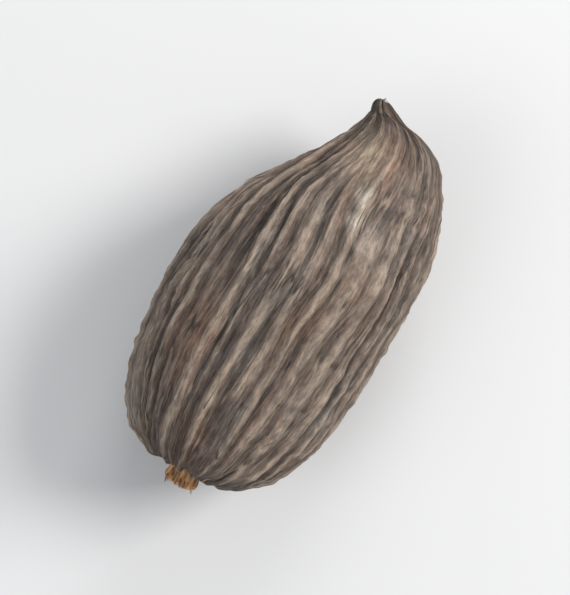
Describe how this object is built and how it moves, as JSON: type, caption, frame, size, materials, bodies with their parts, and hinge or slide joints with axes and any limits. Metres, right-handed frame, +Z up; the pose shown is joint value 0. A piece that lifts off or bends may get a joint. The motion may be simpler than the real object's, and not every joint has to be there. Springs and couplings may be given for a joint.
{
  "type": "black cardamom pod",
  "caption": "Dried black cardamom pod with fine lengthwise ridges, a small beak at one end and a short broken stub of its stalk at the other.",
  "frame": {"origin": "middle of the bounding box, in the plane that the pod lies on", "axes": "+X along the pod from the stalk stub to the beak, +Y across it towards the side that the beak leans to, +Z up"},
  "size_m": [0.0402, 0.0214, 0.0197],
  "materials": {
    "husk": "dry, dull, dark grey-brown to red-brown dried husk",
    "stalk": "dry, fibrous, tan"
  },
  "bodies": {
    "root": {"pod": "husk", "stalk_stub": "stalk"}
  },
  "joints": []
}
